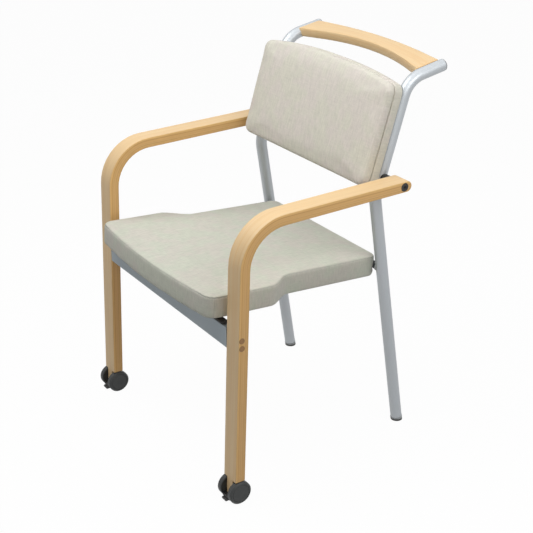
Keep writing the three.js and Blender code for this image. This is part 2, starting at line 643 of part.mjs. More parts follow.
// A plate under the board, turned up behind the cushion to the knuckle of the hinge
function seatBracket() {
  const high = seatLow - FIT, low = high - BRACKET_STEEL;
  const y0 = SEAT_REAR_Y + FIT, y1 = y0 + BRACKET_STEEL, x0 = PLATE_OUTER_X - PLATE_WIDTH;
  const inner = KNUCKLE_END_X - KNUCKLE_LENGTH;
  const body = join(
    block(x0, PLATE_OUTER_X, SEAT_REAR_Y - PLATE_REACH, y1, low, high),
    block(x0, PLATE_OUTER_X, y0, y1, low, PIVOT_Z + BRACKET_HALF),
    block(x0, KNUCKLE_END_X, y0, y1, PIVOT_Z - BRACKET_HALF, PIVOT_Z + BRACKET_HALF),
    rod(KNUCKLE_R, inner, KNUCKLE_END_X, PIVOT_Y, PIVOT_Z));
  const holes = bracketScrews.map((y) => upright(
    SCREW_R + FIT, low - OVERCUT, high + OVERCUT, bracketScrewX, y));
  return tilted(cut(body, rod(PIN_HEAD_R + FIT, pinHeadX - FIT, inner, PIVOT_Y, PIVOT_Z),
    rod(PIN_R + FIT, pinHeadX, KNUCKLE_END_X + OVERCUT, PIVOT_Y, PIVOT_Z), ...holes));
}

function bracketScrew(y) {
  const head = seatLow - 2 * FIT - BRACKET_STEEL;
  return tilted(join(upright(SCREW_HEAD_R, head - SCREW_HEAD, head, bracketScrewX, y),
    upright(SCREW_R, head - EASE, seatLow + SCREW_BITE, bracketScrewX, y)));
}

function hingePin() {
  return join(rod(PIN_HEAD_R, pinHeadX, pinHeadX + PIN_HEAD, PIVOT_Y, PIVOT_Z),
    rod(PIN_R, pinHeadX + EASE, TUBE_X - TUBE_R / 2, PIVOT_Y, PIVOT_Z));
}

function hingeBush() {
  const x0 = KNUCKLE_END_X + FIT;
  return cut(rod(PIVOT_BUSH_R, x0, TUBE_X - TUBE_R / 2, PIVOT_Y, PIVOT_Z), tubeBody(TUBE_R + FIT),
    rod(PIN_R + FIT, x0 - OVERCUT, TUBE_X, PIVOT_Y, PIVOT_Z));
}

// Backrest, built lying on its back and stood up on the tubes
const backPlace = new THREE.Matrix4().makeBasis(
  new THREE.Vector3(1, 0, 0), new THREE.Vector3(0, backLine.x, backLine.y),
  new THREE.Vector3(0, -backLine.y, backLine.x)).setPosition(0, KNEE_Y, KNEE_Z);
const backMiddle = new THREE.Vector2(0, (BACK_BOTTOM + BACK_SIDE_TOP) / 2);
const panelLow = TUBE_R + FIT;
const padLow = panelLow + PANEL_THICK + FIT;

function backOutline() {
  const inner = BACK_HALF - BACK_CORNER, steps = 6;
  const half = [];
  for (let i = 0; i < steps; i += 1) half.push(new THREE.Vector2(inner * i / steps, BACK_BOTTOM));
  half.push(...arc(inner, BACK_BOTTOM + BACK_CORNER, BACK_CORNER, -Math.PI / 2, 0, 4));
  const sideSteps = 4, side = BACK_SIDE_TOP - BACK_BOTTOM - 2 * BACK_CORNER;
  for (let i = 1; i < sideSteps; i += 1) {
    half.push(new THREE.Vector2(BACK_HALF, BACK_BOTTOM + BACK_CORNER + side * i / sideSteps));
  }
  half.push(...arc(inner, BACK_SIDE_TOP - BACK_CORNER, BACK_CORNER, 0, Math.PI / 2, 4));
  for (let i = 1; i <= steps; i += 1) {
    const x = inner * (1 - i / steps);
    half.push(new THREE.Vector2(x, BACK_SIDE_TOP + BACK_ARCH * (1 - (x / inner) ** ARCH_POWER)));
  }
  return bothHalves(half);
}

const backScrews = BACK_SCREW_SHARES.map((share) => BRACKET_BOTTOM + BRACKET_LENGTH * share);
const bracketHigh = TUBE_R - FIT;
const bracketEnd = TUBE_X - Math.sqrt(TUBE_R ** 2 - (bracketHigh - BRACKET_THICK) ** 2) - FIT;
const backScrewX = bracketEnd - BRACKET_WIDTH / 2;
const boardLow = padLow + FIT;

function screwHoles(low, high) {
  return [-1, 1].flatMap((side) => backScrews.map((v) => upright(
    SCREW_R + FIT, low, high, side * backScrewX, v)));
}

function backPanel() {
  const g = pillow(backOutline(), backMiddle, padRows(panelLow, PANEL_THICK, 0));
  return cut(g, ...screwHoles(panelLow - OVERCUT, padLow + OVERCUT)).applyMatrix4(backPlace);
}

function backBoard() {
  const outline = { points: backOutline(), middle: backMiddle };
  return cut(plate(outline, BACK_BOARD_INSET, boardLow, boardLow + BACK_BOARD_THICK),
    ...screwHoles(boardLow - OVERCUT, boardLow + SCREW_BITE + FIT)).applyMatrix4(backPlace);
}

function backPad() {
  const outline = { points: backOutline(), middle: backMiddle };
  const body = pillow(outline.points, backMiddle, padRows(padLow, PAD_THICK, PAD_CROWN));
  const recessTop = boardLow + BACK_BOARD_THICK + FIT;
  const recess = plate(outline, BACK_BOARD_INSET - FIT, padLow - OVERCUT, recessTop);
  return cut(body, recess).applyMatrix4(backPlace);
}

function backBracket() {
  const body = block(bracketEnd - BRACKET_WIDTH, bracketEnd, BRACKET_BOTTOM,
    BRACKET_BOTTOM + BRACKET_LENGTH, bracketHigh - BRACKET_THICK, bracketHigh);
  const holes = backScrews.map((v) => upright(SCREW_R + FIT, 0, TUBE_R + OVERCUT, backScrewX, v));
  return cut(body, ...holes).applyMatrix4(backPlace);
}

function backScrew(v) {
  const head = bracketHigh - BRACKET_THICK - FIT;
  return join(upright(SCREW_HEAD_R, head - SCREW_HEAD, head, backScrewX, v),
    upright(SCREW_R, head - EASE, boardLow + SCREW_BITE, backScrewX, v)).applyMatrix4(backPlace);
}

// Rollers: two wheels on one axle through the tongue of the leg, and a shoe round the tongue
function wheel(side) {
  const r = WHEEL_R, ring = r - WHEEL_SHOULDER - WHEEL_RING, t = WHEEL_THICK;
  const g = turned([
    [0, t], [ring - WHEEL_GROOVE, t], [ring, t - WHEEL_GROOVE], [ring + WHEEL_GROOVE, t],
    [r - WHEEL_SHOULDER, t], [r, t - WHEEL_SHOULDER], [r, EASE], [r - EASE, 0],
    [AXLE_R + FIT, 0], [AXLE_R + FIT, AXLE_BITE + FIT], [0, AXLE_BITE + FIT],
  ].reverse(), WHEEL_ROUND);
  const centre = legPoint(WHEEL_R);
  return surface(solid(g)).rotateY(side * Math.PI / 2)
    .translate(LEG_X + side * WHEEL_INNER, centre.x, centre.y);
}

function axle() {
  const centre = legPoint(WHEEL_R), reach = WHEEL_INNER + AXLE_BITE;
  return surface(solid(rod(AXLE_R, LEG_X - reach, LEG_X + reach, centre.x, centre.y)));
}

// Side outline of a foot with rounded ends, from behind the leg to its nose
function soleOutline(reach, low, high) {
  const foot = legPoint(low), rise = (high - low) / 2;
  const back = foot.x + WOOD_THICK / 2 + SHOE_WALL, nose = foot.x - WOOD_THICK / 2 - reach;
  return [
    new THREE.Vector2(back - rise, low), new THREE.Vector2(back, low + rise),
    new THREE.Vector2(back, high), ...arc(nose + rise, low + rise, rise, Math.PI / 2, 3 * Math.PI / 2, 6),
  ];
}

function shoe() {
  const cheek = legPoint(SHOE_CHEEK_TOP - WOOD_THICK / 3);
  const round = arc(cheek.x, cheek.y, WOOD_THICK / 3, 0, Math.PI, 8);
  const cheeks = [new THREE.Vector2(cheek.x - WOOD_THICK / 3, SHOE_BOTTOM),
    new THREE.Vector2(cheek.x + WOOD_THICK / 3, SHOE_BOTTOM), ...round];
  const half = WOOD_THICK / 2 + FIT, low = legPoint(TONGUE_Z), high = legPoint(SHOULDER_Z);
  const pocket = [
    new THREE.Vector2(low.x - half, TONGUE_Z - FIT),
    new THREE.Vector2(low.x + half, TONGUE_Z - FIT - EASE / 2),
    new THREE.Vector2(high.x + half, SHOULDER_Z), new THREE.Vector2(high.x - half, SHOULDER_Z),
  ];
  const wide = TONGUE_WIDTH / 2 + FIT, centre = legPoint(WHEEL_R);
  return cut(
    join(
      slab(soleOutline(SHOE_NOSE, SHOE_BOTTOM, SHOE_FLOOR_TOP), LEG_X - SHOE_HALF, LEG_X + SHOE_HALF),
      slab(soleOutline(TOE_REACH, TOE_BOTTOM, TOE_TOP), LEG_X - TOE_HALF, LEG_X + TOE_HALF),
      slab(cheeks, LEG_X - SHOE_HALF, LEG_X + SHOE_HALF),
    ),
    slab(pocket, LEG_X - wide, LEG_X + wide),
    rod(AXLE_R + FIT, LEG_X - 2 * SHOE_HALF, LEG_X + 2 * SHOE_HALF, centre.x, centre.y),
  );
}

// Assembly
const chair = new THREE.Group();
chair.name = 'nesting_chair';

function add(name, geometry, finish) {
  const g = geometry.index ? geometry : mergeVertices(geometry, MERGE);
  const mesh = new THREE.Mesh(g, new THREE.MeshStandardMaterial(FINISH[finish]));
  mesh.name = name;
  chair.add(mesh);
}

function pair(name, geometry, finish) {
  add(`left_${name}`, geometry, finish);
  add(`right_${name}`, mirrored(geometry), finish);
}

pair('arm_leg', armLeg(), 'wood');
add('front_rail', frontRail(), 'slate');
[['lower', -1], ['upper', 1]].forEach(([level, row]) => {
  pair(`rail_bolt_${level}`, railBolt(row), 'steel');
  pair(`wood_plug_${level}`, woodPlug(row), 'wood');
});
pair('seat_buffer', seatBuffer(), 'rubber');
pair('rear_tube', rearTube(), 'silver');
pair('tube_cap', tubeCap(), 'cap');
pair('foot_glide', footGlide(), 'rubber');
add('grab_rail', grabRail(), 'wood');
[['front', 0], ['rear', 1]].forEach(([place, i]) => {
  pair(`grab_stud_${place}`, grabStud(grabStuds[i]), 'steel');
});
pair('arm_bush', armBush(), 'black');
pair('arm_bolt', armBolt(), 'black');
pair('arm_spacer', armSpacer(), 'black');
add('seat_cushion', seatCushion(), 'fabric');
add('seat_board', seatBoard(), 'plywood');
pair('seat_bracket', seatBracket(), 'black');
[['rear', 0], ['front', 1]].forEach(([place, i]) => {
  pair(`bracket_screw_${place}`, bracketScrew(bracketScrews[i]), 'steel');
});
pair('hinge_pin', hingePin(), 'black');
pair('hinge_bush', hingeBush(), 'silver');
add('back_rear_panel', backPanel(), 'fabric');
add('back_board', backBoard(), 'plywood');
add('back_front_pad', backPad(), 'fabric');
pair('back_bracket', backBracket(), 'slate');
[['lower', 0], ['upper', 1]].forEach(([level, i]) => {
  pair(`back_screw_${level}`, backScrew(backScrews[i]), 'steel');
});
pair('outer_wheel', wheel(1), 'wheel');
pair('inner_wheel', wheel(-1), 'wheel');
pair('wheel_axle', axle(), 'steel');
pair('wheel_shoe', shoe(), 'black');

// The origin goes to the middle of the floor area that the chair takes
const bounds = new THREE.Box3();
chair.children.forEach((mesh) => {
  mesh.geometry.computeBoundingBox();
  bounds.union(mesh.geometry.boundingBox);
});
const middleY = (bounds.min.y + bounds.max.y) / 2;
chair.children.forEach((mesh) => {
  mesh.geometry.translate(0, -middleY, 0);
  mesh.geometry.computeVertexNormals();
});

export default chair;
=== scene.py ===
# Looks of the nesting chair: upholstery, bent wood, painted tubes, rollers, light and camera
import math
import bpy
import bmesh
import numpy as np
from mathutils import Matrix, Vector


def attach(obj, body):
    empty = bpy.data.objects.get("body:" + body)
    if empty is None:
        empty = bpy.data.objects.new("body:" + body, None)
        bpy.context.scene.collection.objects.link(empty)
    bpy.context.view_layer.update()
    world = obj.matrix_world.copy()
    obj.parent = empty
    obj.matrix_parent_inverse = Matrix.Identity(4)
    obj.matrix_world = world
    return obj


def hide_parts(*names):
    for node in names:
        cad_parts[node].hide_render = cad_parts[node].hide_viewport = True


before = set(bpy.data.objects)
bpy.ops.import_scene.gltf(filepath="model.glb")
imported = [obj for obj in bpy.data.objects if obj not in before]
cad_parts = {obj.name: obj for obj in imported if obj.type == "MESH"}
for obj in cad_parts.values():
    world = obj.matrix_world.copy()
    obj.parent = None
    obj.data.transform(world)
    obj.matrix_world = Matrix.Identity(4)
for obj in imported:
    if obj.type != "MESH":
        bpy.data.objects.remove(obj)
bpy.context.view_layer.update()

# The part's measures that the finished pieces repeat, in millimetres, with angles in radians
MM = 0.001
MIDDLE_Y = 265.22                  # the drawing frame's origin lies this far in front of the shared one

PIVOT = (414.911, 385.0)           # seat pivot, Y and Z
SEAT_TILT = math.radians(4)
SEAT_LOW, SEAT_HEIGHT = 365.0, 45.5
SEAT_FRONT, SEAT_REAR, SEAT_BOW = -20.0, 416.5, 13.5
SEAT_HALF, SEAT_WAIST, SEAT_REAR_HALF = 228.0, 193.0, 192.5
SEAT_STEP = (126.0, 190.0)         # the side steps in between these depths
SEAT_CORNERS = (26.0, 20.0)        # radii of the front and the rear corners, seen from above
SEAT_HANG = 1.2                    # the cover hangs this far below the solid
SEAT_SLACK = 0.4                   # the cover starts this much smaller, because it swells
SEAT_REAR_ROUNDS = (13.0, 14.0)    # radius of the rear edge, above and below
SEAT_BOARD, BOARD_PLAY = 9.0, 0.8  # thickness of the board in the cushion, and the room above it
SEAM_SHARE = 0.93                  # height of the seam round the seat, as a share of the solid's height
CORNER_SEAM = (225.6, -5.0)        # upright seam at each front corner, X and Y
KNUCKLE_X, KNUCKLE_CLEAR = 181.0, 8.4  # the hinge knuckles start this far out and need this radius

KNEE = (388.0, 554.6)              # where the backrest's own frame starts on the tubes, Y and Z
BACK_LINE = Vector((0.29717, 0.95483))  # direction of the tubes above the knee, Y and Z
BACK_HALF, BACK_LOW, BACK_SIDE_TOP = 221.0, 15.0, 230.515
BACK_ARCH, ARCH_POWER, BACK_CORNER = 13.0, 2.4, 22.0
PANEL_FROM, PANEL_THICK = 12.8, 19.3  # measured forward from the line of the tubes
PAD_FROM, PAD_THICK = 32.4, 20.0
BACK_BOARD = 8.6                   # depth of the hollow for the board in the pad
GROOVE_CLOSED = 2.4                # along the top the cover comes this much closer to the panel

LEG_LEAN, ARM_RISE = math.radians(2), math.radians(0.6)
WOOD_THICK, ARM_BEND = 22.4, 89.5
LEG_FOOT = Vector((10.65, 0.0))    # ends of the bent wood's middle line, Y and Z
ARM_END = Vector((400.667, 595.3))
GRIP_RISE = math.radians(10.6)     # slope of the tubes' upper ends


def smooth(share):
    return share * share * (3 - 2 * share)


def arc(cx, cy, radius, start, end, steps):
    return [(cx + radius * math.cos(start + (end - start) * i / steps),
             cy + radius * math.sin(start + (end - start) * i / steps)) for i in range(steps + 1)]


def both_halves(half):
    """Closes an outline with the mirrored half"""
    return half + [(-x, y) for x, y in reversed(half[1:-1])]


def seat_outline():
    """The seat from above: bowed front, straight sides, a step inward and a narrow rear"""
    front_radius, rear_radius = SEAT_CORNERS
    inner = SEAT_HALF - front_radius
    half = [(inner * i / 16, SEAT_FRONT - SEAT_BOW * (1 - (i / 16) ** 2)) for i in range(16)]
    first = SEAT_FRONT + front_radius
    half += arc(inner, first, front_radius, -math.pi / 2, 0, 12)
    start, end = SEAT_STEP
    half += [(SEAT_HALF, first + (start - first) * i / 8) for i in range(1, 8)]
    half += [(SEAT_HALF + (SEAT_WAIST - SEAT_HALF) * smooth(i / 16), start + (end - start) * i / 16)
             for i in range(17)]
    last = SEAT_REAR - rear_radius
    half += [(SEAT_WAIST + (SEAT_REAR_HALF - SEAT_WAIST) * i / 14, end + (last - end) * i / 14)
             for i in range(1, 14)]
    inner = SEAT_REAR_HALF - rear_radius
    half += arc(inner, last, rear_radius, 0, math.pi / 2, 9)
    half += [(inner * (1 - i / 12), SEAT_REAR) for i in range(1, 13)]
    return both_halves(half)


def back_outline():
    """The backrest from the front: rounded corners and an arched top"""
    inner = BACK_HALF - BACK_CORNER
    low, high = BACK_LOW + BACK_CORNER, BACK_SIDE_TOP - BACK_CORNER
    half = [(inner * i / 16, BACK_LOW) for i in range(16)]
    half += arc(inner, low, BACK_CORNER, -math.pi / 2, 0, 9)
    half += [(BACK_HALF, low + (high - low) * i / 12) for i in range(1, 12)]
    half += arc(inner, high, BACK_CORNER, 0, math.pi / 2, 9)
    for i in range(1, 19):
        x = inner * (1 - i / 18)
        half.append((x, BACK_SIDE_TOP + BACK_ARCH * (1 - (x / inner) ** ARCH_POWER)))
    return both_halves(half)


# Padded forms: rings from the crown over the edge and the band to the underside
def pad_rows(low, height, crown, edge, foot, recess=None, fullness=2.2):
    """Rows of share of the way from the middle, inset and height

    recess is the inset and depth of the hollow for a board. A higher fullness keeps the crown level
    for longer before it falls to the edge.
    """
    top = low + height
    shares = (0, .25, .5, .7, .85, .92, .96, .985)
    rows = [(share, edge, top + crown * (1 - share ** fullness)) for share in shares]
    turns = [math.pi / 2 * i / 4 for i in range(5)]
    rows += [(1, edge * (1 - math.sin(turn)), top - edge * (1 - math.cos(turn))) for turn in turns]
    rows += [(1, foot * (1 - math.cos(turn)), low + foot * (1 - math.sin(turn))) for turn in turns]
    if recess:
        inset, depth = recess
        roof = low + depth
        rows += [(1, inset, low), (1, inset, roof), (.5, inset, roof), (0, inset, roof)]
    else:
        rows += [(.5, foot, low), (0, foot, low)]
    return rows


def ring_mesh(name, outline, rows, slack):
    """A closed body of rings round an outline, made smaller by slack all round and at its top"""
    slack_height = 12
    count = len(outline)
    middle = Vector((0, (min(y for x, y in outline) + max(y for x, y in outline)) / 2))
    points = [Vector(place) for place in outline]
    inward = []
    for i in range(count):
        along = (points[(i + 1) % count] - points[i - 1]).normalized()
        inward.append(Vector((-along.y, along.x)))
    low = min(height for share, inset, height in rows)
    build = bmesh.new()
    rings = []
    for share, inset, height in rows:
        z = height - slack * min(1, (height - low) / slack_height)
        if share == 0:
            rings.append([build.verts.new((middle.x * MM, middle.y * MM, z * MM))])
            continue
        ring = []
        for point, side in zip(points, inward):
            place = (point + side * (inset + slack) - middle) * share + middle
            ring.append(build.verts.new((place.x * MM, place.y * MM, z * MM)))
        rings.append(ring)
    for upper, lower in zip(rings, rings[1:]):
        for i in range(count):
            j = (i + 1) % count
            corners = [upper[i % len(upper)], lower[i % len(lower)],
                       lower[j % len(lower)], upper[j % len(upper)]]
            build.faces.new(list(dict.fromkeys(corners)))
    bmesh.ops.recalc_face_normals(build, faces=build.faces)
    mesh = bpy.data.meshes.new(name)
    build.to_mesh(mesh)
    build.free()
    piece = bpy.data.objects.new(name, mesh)
    bpy.context.scene.collection.objects.link(piece)
    return piece


def round_rear(piece, rear, top, bottom, rounds):
    """Rounds the rear edge of a level pad above and below"""
    roof = top + 4
    for vertex in piece.data.vertices:
        place = vertex.co / MM
        limits = []
        for radius in rounds:
            over = min(max(place.y - (rear - radius), 0), radius)
            limits.append(radius - math.sqrt(radius ** 2 - over ** 2))
        if limits[0]:
            place.z = min(place.z, roof - limits[0] * (roof - bottom) / (top - bottom))
        if limits[1] and place.z < top - rounds[0]:
            place.z = max(place.z, bottom + limits[1])
        vertex.co = place * MM


def remesh(piece, size):
    """Replaces the mesh by an even one of the given size in millimetres"""
    step = piece.modifiers.new("even", "REMESH")
    step.mode = "VOXEL"
    step.voxel_size = size * MM
    bpy.context.view_layer.update()
    graph = bpy.context.evaluated_depsgraph_get()
    mesh = bpy.data.meshes.new_from_object(piece.evaluated_get(graph))
    piece.modifiers.clear()
    piece.data = mesh


def coordinates(mesh):
    flat = np.empty(len(mesh.vertices) * 3)
    mesh.vertices.foreach_get("co", flat)
    return flat.reshape(-1, 3)


def set_coordinates(mesh, points):
    mesh.vertices.foreach_set("co", points.ravel())
    mesh.update()


def neighbour_mean(mesh, values):
    ends = np.empty(len(mesh.edges) * 2, dtype=np.int64)
    mesh.edges.foreach_get("vertices", ends)
    ends = ends.reshape(-1, 2)
    total = np.zeros_like(values)
    np.add.at(total, ends[:, 0], values[ends[:, 1]])
    np.add.at(total, ends[:, 1], values[ends[:, 0]])
    return total / np.bincount(ends.ravel(), minlength=len(values))[:, None]


def fair(piece, rounds):
    """Evens the surface and keeps its volume: each step in is followed by a step out"""
    step_in, step_out = 0.5, 0.52
    points = coordinates(piece.data)
    for _ in range(rounds):
        points += step_in * (neighbour_mean(piece.data, points) - points)
        points -= step_out * (neighbour_mean(piece.data, points) - points)
    set_coordinates(piece.data, points)


def inflate(piece, cap, held, calm):
    """Cloth simulation: the cover swells between its held seams, no point further than the cap"""
    group = piece.vertex_groups.new(name="held")
    group.add([v.index for v in piece.data.vertices if held(v.co / MM)], 1.0, "REPLACE")
    cloth = piece.modifiers.new("cloth", "CLOTH")
    cloth.settings.quality = 5
    cloth.settings.mass = 0.25
    cloth.settings.tension_stiffness = 18
    cloth.settings.compression_stiffness = 18
    cloth.settings.shear_stiffness = 6
    cloth.settings.bending_stiffness = 1.2
    cloth.settings.use_pressure = True
    cloth.settings.uniform_pressure_force = 4.0
    cloth.settings.vertex_group_mass = "held"
    cloth.settings.effector_weights.gravity = 0
    cloth.collision_settings.use_collision = False
    rest = coordinates(piece.data)
    for number in range(1, 21):
        bpy.context.scene.frame_set(number)
    graph = bpy.context.evaluated_depsgraph_get()
    way = coordinates(piece.evaluated_get(graph).data) - rest
    piece.modifiers.remove(cloth)
    bpy.context.scene.frame_set(1)
    length = np.linalg.norm(way, axis=1, keepdims=True)
    way *= np.minimum(1, cap * MM / np.maximum(length, 1e-9))
    for _ in range(calm):
        way = (way + neighbour_mean(piece.data, way)) / 2
    set_coordinates(piece.data, rest + way)


def smooth_faces(piece):
    for face in piece.data.polygons:
        face.use_smooth = True


def soften(piece):
    smooth_faces(piece)
    step = piece.modifiers.new("fine", "SUBSURF")
    step.levels = step.render_levels = 1


# Seat cushion
seat_seam = SEAT_LOW + SEAM_SHARE * SEAT_HEIGHT
seat_top, seat_bottom = SEAT_LOW + SEAT_HEIGHT, SEAT_LOW - SEAT_HANG


def seat_held(place):
    """The seat's cover is held along its lower rim and along the seam"""
    rim_height, seam_reach = 6, 2.4
    return place.z < SEAT_LOW + rim_height or abs(place.z - seat_seam) < seam_reach


def clear_knuckles(piece):
    """Draws the cover back from the hinge knuckles at its rear corners"""
    for vertex in piece.data.vertices:
        place = vertex.co / MM
        rise = place.z - PIVOT[1]
        if abs(place.x) > KNUCKLE_X and abs(rise) < KNUCKLE_CLEAR:
            rear = PIVOT[0] - math.sqrt(KNUCKLE_CLEAR ** 2 - rise ** 2)
            vertex.co.y = min(vertex.co.y, rear * MM)


cushion = ring_mesh("seat_cushion_cover", seat_outline(),
                    pad_rows(seat_bottom, seat_top - seat_bottom, crown=3.5, edge=4.5, foot=4.5,
                             recess=(13.4, SEAT_BOARD + SEAT_HANG + BOARD_PLAY)), SEAT_SLACK)
round_rear(cushion, SEAT_REAR - SEAT_SLACK, seat_top, seat_bottom, SEAT_REAR_ROUNDS)
remesh(cushion, size=4.4)
fair(cushion, rounds=4)
inflate(cushion, cap=3.2, held=seat_held, calm=5)
fair(cushion, rounds=2)
clear_knuckles(cushion)
soften(cushion)
cushion.matrix_world = (Matrix.Translation(Vector((0, PIVOT[0] - MIDDLE_Y, PIVOT[1])) * MM)
                        @ Matrix.Rotation(-SEAT_TILT, 4, "X")
                        @ Matrix.Translation(Vector((0, -PIVOT[0], -PIVOT[1])) * MM))
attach(cushion, "seat")
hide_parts("seat_cushion")


# Backrest: padded front and upholstered rear panel, in the frame of the tubes
def back_held(place):
    """The pad's cover is held along its rim over the panel"""
    rim_height = 5
    return place.z < PAD_FROM + rim_height


def close_groove(piece):
    """Brings the cover's rim down to the panel along the top"""
    for vertex in piece.data.vertices:
        place = vertex.co / MM
        if place.y > BACK_SIDE_TOP - BACK_CORNER and place.z < PAD_FROM + GROOVE_CLOSED:
            vertex.co.z = PAD_FROM * MM


back_frame = Matrix((
    (1, 0, 0, 0),
    (0, BACK_LINE.x, -BACK_LINE.y, (KNEE[0] - MIDDLE_Y) * MM),
    (0, BACK_LINE.y, BACK_LINE.x, KNEE[1] * MM),
    (0, 0, 0, 1)))
back_pad = ring_mesh("back_pad_cover", back_outline(),
                     pad_rows(PAD_FROM, PAD_THICK, crown=4.5, edge=9, foot=1.4,
                              recess=(15.4, BACK_BOARD), fullness=4), slack=0.3)
remesh(back_pad, size=4.2)
fair(back_pad, rounds=4)
inflate(back_pad, cap=2.6, held=back_held, calm=14)
fair(back_pad, rounds=2)
close_groove(back_pad)
soften(back_pad)
back_panel = ring_mesh("back_panel_cover", back_outline(),
                       pad_rows(PANEL_FROM, PANEL_THICK, crown=0, edge=1.6, foot=1.6), slack=0.4)
smooth_faces(back_panel)
for piece, node in ((back_pad, "back_front_pad"), (back_panel, "back_rear_panel")):
    piece.matrix_world = back_frame
    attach(piece, "frame")
    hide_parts(node)


# Materials
def srgb(red, green, blue):
    def linear(level):
        level /= 255
        return level / 12.92 if level <= 0.04045 else ((level + 0.055) / 1.055) ** 2.4
    return (linear(red), linear(green), linear(blue), 1)


class Graph:
    """A node material written as a chain of short calls"""

    def __init__(self, name, roughness, **fixed):
        self.material = bpy.data.materials.new(name)
        self.material.use_nodes = True
        self.nodes = self.material.node_tree.nodes
        self.links = self.material.node_tree.links
        self.shader = self.nodes["Principled BSDF"]
        self.shader.inputs["Roughness"].default_value = roughness
        for key, value in fixed.items():
            self.shader.inputs[key.replace("_", " ")].default_value = value
        coordinate = self.node("ShaderNodeTexCoord").outputs
        self.place = coordinate["Object"]
        self.facing = coordinate["Normal"]

    def node(self, kind, inputs=(), **settings):
        made = self.nodes.new(kind)
        for key, value in settings.items():
            setattr(made, key, value)
        for index, value in enumerate(inputs):
            self.put(value, made.inputs[index])
        return made

    def put(self, value, socket):
        if isinstance(value, bpy.types.NodeSocket):
            self.links.new(value, socket)
        elif value is not None:
            socket.default_value = value

    def math(self, kind, first, second=None):
        return self.node("ShaderNodeMath", (first, second), operation=kind).outputs[0]

    def times(self, first, second):
        return self.math("MULTIPLY", first, second)

    def plus(self, first, second):
        return self.math("ADD", first, second)

    def minus(self, first, second):
        return self.math("SUBTRACT", first, second)

    def wave(self, value, length):
        """Sine of the given wavelength"""
        return self.math("SINE", self.times(value, 2 * math.pi / length))

    def parts(self, vector):
        return self.node("ShaderNodeSeparateXYZ", (vector,)).outputs[:]

    def vector(self, x, y, z):
        return self.node("ShaderNodeCombineXYZ", (x, y, z)).outputs[0]

    def step(self, value, low, high, out_low=0.0, out_high=1.0):
        """Smooth change from out_low to out_high while value goes from low to high"""
        made = self.node("ShaderNodeMapRange", (value, low, high, out_low, out_high),
                         interpolation_type="SMOOTHSTEP")
        return made.outputs[0]

    def line(self, value, centre, width):
        """One on a thin line where value is centre, falling to zero at width"""
        off = self.math("ABSOLUTE", self.minus(value, centre))
        return self.step(off, 0.0, width, 1.0, 0.0)

    def noise(self, vector, scale, detail, rough=0.5):
        made = self.node("ShaderNodeTexNoise")
        for key, value in (("Vector", vector), ("Scale", scale), ("Detail", detail),
                           ("Roughness", rough)):
            self.put(value, made.inputs[key])
        return made.outputs[0]

    def streaks(self, x, y, z, detail, rough=0.5):
        """Noise with its own scale along each axis: pairs of value and scale, or a plain value"""
        scaled = [self.times(*part) if isinstance(part, tuple) else part for part in (x, y, z)]
        return self.noise(self.vector(*scaled), 1, detail, rough)

    def mix(self, share, first, second, kind="MIX"):
        made = self.node("ShaderNodeMix", data_type="RGBA", blend_type=kind)
        for index, value in ((0, share), (6, first), (7, second)):
            self.put(value, made.inputs[index])
        return made.outputs[2]

    def blend(self, share, first, second):
        made = self.node("ShaderNodeMix", data_type="FLOAT")
        for index, value in ((0, share), (2, first), (3, second)):
            self.put(value, made.inputs[index])
        return made.outputs[0]

    def shade(self, colour, factor):
        """A colour made lighter or darker by a factor"""
        grey = self.node("ShaderNodeCombineColor", (factor, factor, factor)).outputs[0]
        return self.mix(1.0, colour, grey, "MULTIPLY")

    def bump(self, height, distance, strength):
        made = self.node("ShaderNodeBump")
        made.inputs["Strength"].default_value = strength
        made.inputs["Distance"].default_value = distance
        self.put(height, made.inputs["Height"])
        self.put(made.outputs[0], self.shader.inputs["Normal"])

    def finish(self, colour, roughness=None):
        self.put(colour, self.shader.inputs["Base Color"])
        self.put(roughness, self.shader.inputs["Roughness"])
        return self.material


THREAD = 0.0016                    # wavelength of the weave, in metres as in all materials
# width of the groove along each seam, which is also the width of its painted shade line
SEAM_WIDTH = 0.0016
STITCH = 0.012                     # wavelength of the slight ripple along the seam


